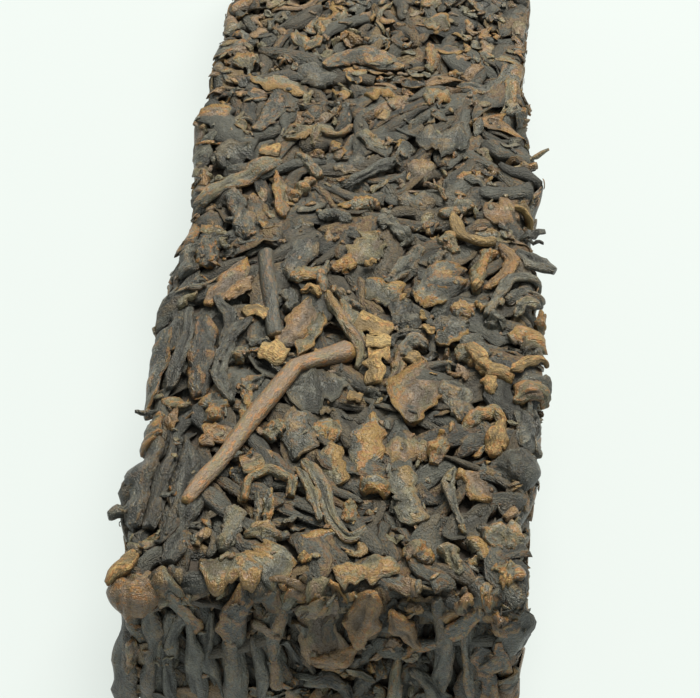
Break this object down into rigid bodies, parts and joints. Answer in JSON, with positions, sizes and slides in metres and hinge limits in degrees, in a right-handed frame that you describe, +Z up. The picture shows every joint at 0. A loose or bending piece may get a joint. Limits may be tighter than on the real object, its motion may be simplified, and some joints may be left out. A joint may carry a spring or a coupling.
{
  "type": "pu erh tea brick",
  "caption": "Long bar of dark pressed tea, with rolled leaves, flat leaf flakes, stalks and paler chips standing out all over its rough faces and ragged edges, and a flat underside.",
  "frame": {"origin": "middle of the bar's box in X and Y, at the flat underside", "axes": "+Z up out of the shown top face, +Y along the bar towards its far end, +X to the right as seen from the near end"},
  "size_m": [0.0498, 0.1512, 0.0261],
  "materials": {
    "pressed_tea": "dull dark brown leaves with a faint slate sheen, rusty ridges and tan chips"
  },
  "bodies": {
    "root": {"tea_brick": "pressed_tea"}
  },
  "joints": []
}
